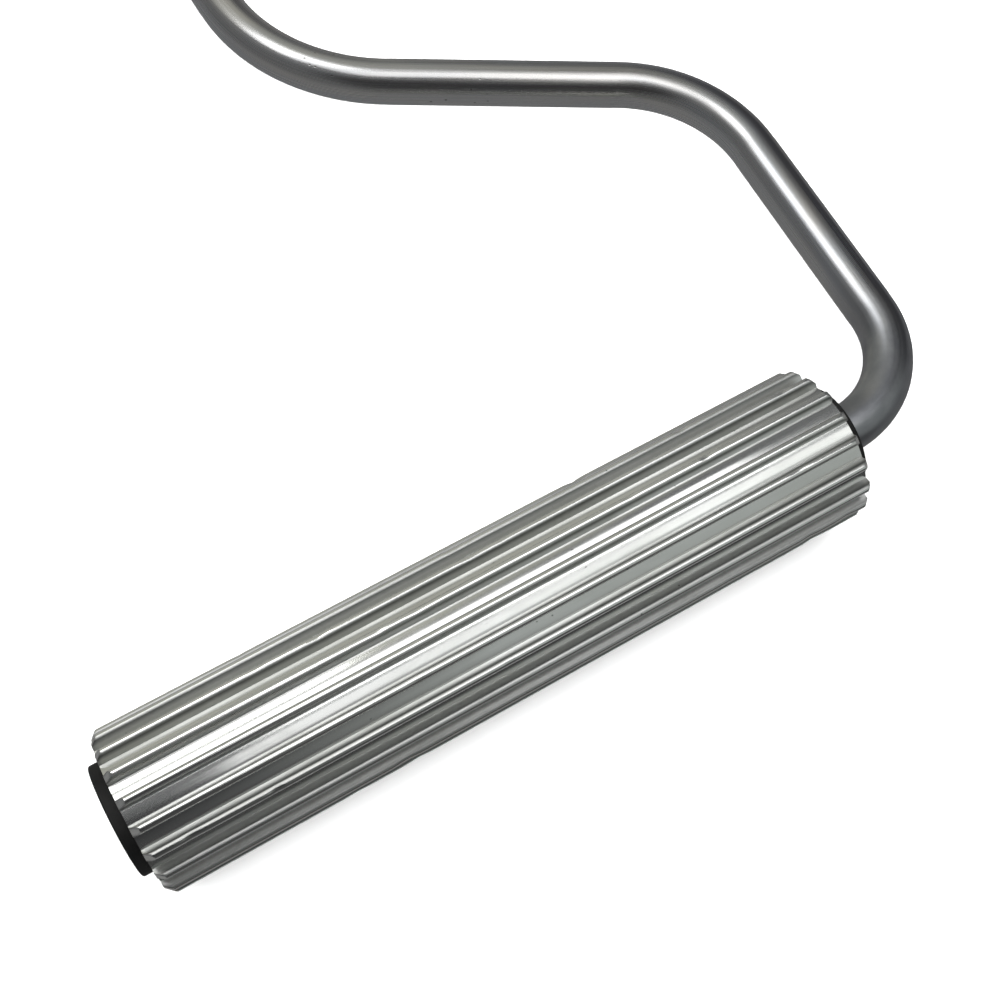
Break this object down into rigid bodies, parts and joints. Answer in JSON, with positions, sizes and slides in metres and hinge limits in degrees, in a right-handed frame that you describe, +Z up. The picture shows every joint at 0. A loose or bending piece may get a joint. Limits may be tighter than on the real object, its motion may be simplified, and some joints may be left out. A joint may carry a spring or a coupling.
{
  "type": "ribbed hand roller",
  "caption": "Hand roller: a ribbed aluminium sleeve with black end caps turns on a bent steel rod set in a straight moulded handle with a soft grip and a pole socket.",
  "frame": {"origin": "centre of the pole socket's mouth, in the handle's end face", "axes": "+Y out of the socket, away from the roller; X along the roller's axle, towards the side where the rod leaves it; +Z up, square to the plane of the rod"},
  "size_m": [0.175, 0.33, 0.0296],
  "materials": {
    "sleeve_aluminium": "bright mill finish with fine lengthwise extrusion lines",
    "rod_zinc": "satin bright zinc plating",
    "cap_plastic": "matte black moulded",
    "bush_plastic": "natural nylon, matte",
    "hardware_steel": "zinc plated",
    "spring_steel": "phosphated, dark",
    "handle_plastic": "fine moulded texture, black",
    "grip_rubber": "matte, ringed, charcoal"
  },
  "bodies": {
    "frame": {"rod_frame": "rod_zinc", "thrust_washers": "hardware_steel", "retaining_rings": "spring_steel", "handle_core": "handle_plastic", "handle_grip": "grip_rubber"},
    "roller": {"ribbed_sleeve": "sleeve_aluminium", "rod_side_cap": "cap_plastic", "free_side_cap": "cap_plastic", "inner_bush": "bush_plastic"}
  },
  "joints": [
    {"name": "roller_spin", "type": "hinge", "parent": "frame", "child": "roller", "pos_m": [-0.0195, -0.315, 0], "axis": [1, 0, 0], "continuous": true}
  ]
}
